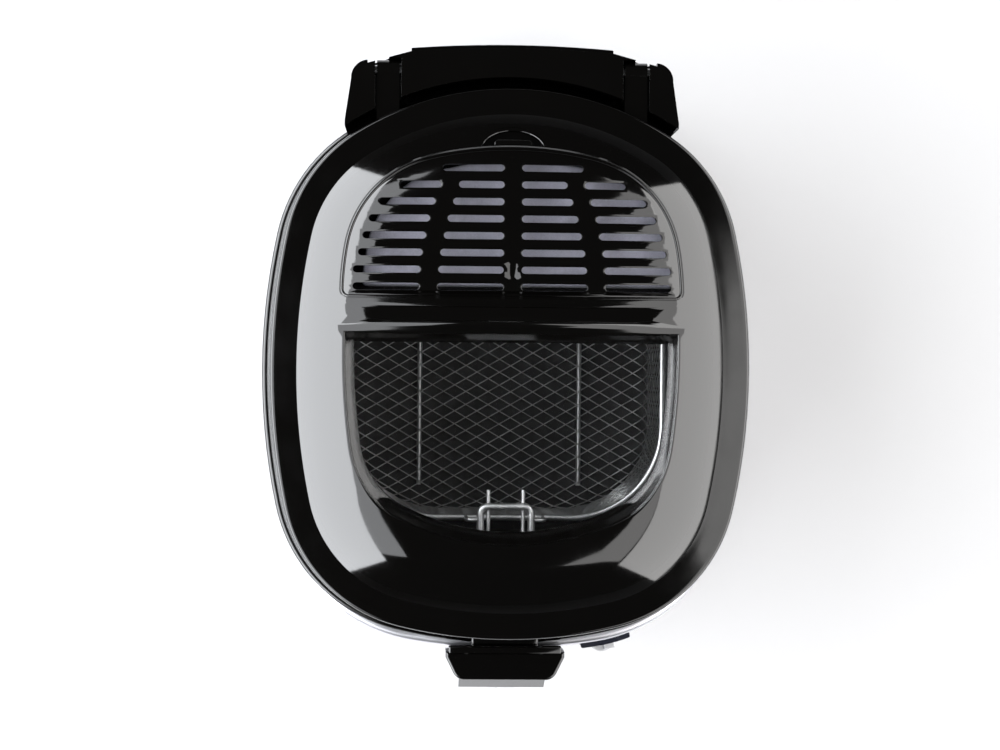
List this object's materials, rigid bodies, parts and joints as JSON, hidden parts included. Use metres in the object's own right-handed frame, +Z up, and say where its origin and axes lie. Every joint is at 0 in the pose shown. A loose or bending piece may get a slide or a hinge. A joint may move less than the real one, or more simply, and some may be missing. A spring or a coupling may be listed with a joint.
{
  "type": "deep fryer",
  "caption": "Countertop deep fryer: hinged lid with window and slotted filter cover, wire basket that lifts as its front handle folds out, slide thermostat.",
  "frame": {"origin": "centre of the bounding box in plan, at the worktop under the feet", "axes": "+X to the user's right, +Y to the rear hinge, +Z up"},
  "size_m": [0.27, 0.356, 0.245],
  "materials": {
    "gloss_black": "high gloss moulded",
    "matt_black": "fine textured moulding",
    "panel_black": "satin gloss",
    "switch_plastic": "unfilled moulding",
    "brushed_body": "brushed round the body",
    "non_stick": "dark non-stick coating",
    "bright_sheet": "mill finish",
    "bare_aluminium": "satin",
    "element_sheath": "heat-darkened",
    "terminal_brass": "bright",
    "switch_ceramic": "fired, unglazed",
    "silver_plastic": "satin silver",
    "red_lens": "clear red",
    "lamp_glass": "clear",
    "foot_rubber": "matt",
    "screw_steel": "zinc plated",
    "clear_pane": "clear",
    "seal_silicone": "soft satin",
    "filter_fleece": "felted fleece",
    "charcoal_mat": "open charcoal mat",
    "chrome_wire": "polished"
  },
  "bodies": {
    "casing": {"rubber_feet": "foot_rubber", "base_tray": "matt_black", "base_screws": "screw_steel", "body_shell": "brushed_body", "top_rim": "gloss_black", "oil_bowl": "non_stick", "heat_shield": "bright_sheet", "heat_spreader": "bare_aluminium", "heating_element": "element_sheath", "heater_terminals": "terminal_brass", "thermal_cutout": "switch_ceramic", "thermostat_bulb": "bright_sheet", "thermostat_capillary": "bright_sheet", "thermostat_case": "switch_plastic", "control_bezel": "panel_black", "pilot_lens": "red_lens", "pilot_lamp": "lamp_glass", "rear_housing": "gloss_black", "rear_cover": "gloss_black", "cover_screws": "screw_steel", "cord_gland": "foot_rubber", "terminal_block": "switch_plastic", "hinge_pins": "screw_steel"},
    "slider": {"temperature_slider": "silver_plastic"},
    "lid": {"lid_shell": "gloss_black", "window_pane": "clear_pane", "window_gasket": "seal_silicone", "fleece_filter": "filter_fleece", "charcoal_filter": "charcoal_mat", "filter_tray": "matt_black", "lid_liner": "bare_aluminium", "lid_seal": "seal_silicone", "lid_screws": "screw_steel", "hinge_arms": "gloss_black"},
    "filter_lid": {"filter_cover": "gloss_black"},
    "basket": {"basket_mesh": "chrome_wire", "basket_rim": "chrome_wire", "basket_feet": "chrome_wire", "basket_yoke": "chrome_wire", "yoke_rods": "chrome_wire", "basket_clips": "chrome_wire", "handle_bracket": "gloss_black", "handle_pin": "screw_steel"},
    "handle": {"handle_outer_shell": "gloss_black", "handle_inner_shell": "matt_black", "handle_screws": "screw_steel", "button_spring": "screw_steel"},
    "button": {"handle_button": "silver_plastic"}
  },
  "joints": [
    {"name": "lid_hinge", "type": "hinge", "parent": "casing", "child": "lid", "pos_m": [0, 0.1645, 0.216], "axis": [-1, 0, 0], "range_deg": [0, 85]},
    {"name": "filter_cover_lift", "type": "slide", "parent": "lid", "child": "filter_lid", "axis": [0, 0, 1], "range_m": [0, 0.03]},
    {"name": "temperature_slide", "type": "slide", "parent": "casing", "child": "slider", "axis": [0, 0, 1], "range_m": [-0.02, 0.02]},
    {"name": "basket_lift", "type": "slide", "parent": "casing", "child": "basket", "axis": [0, 0, 1], "range_m": [0, 0.04]},
    {"name": "handle_fold", "type": "hinge", "parent": "basket", "child": "handle", "pos_m": [0, -0.1586, 0.171], "axis": [-1, 0, 0], "range_deg": [0, 90]},
    {"name": "button_press", "type": "slide", "parent": "handle", "child": "button", "axis": [0, 1, 0], "range_m": [0, 0.003], "stiffness_N_per_m": 400, "deforming": ["button_spring"]}
  ],
  "couplings": [
    {"joint": "handle_fold", "follows": "basket_lift", "rad_per_m": 39.26}
  ]
}
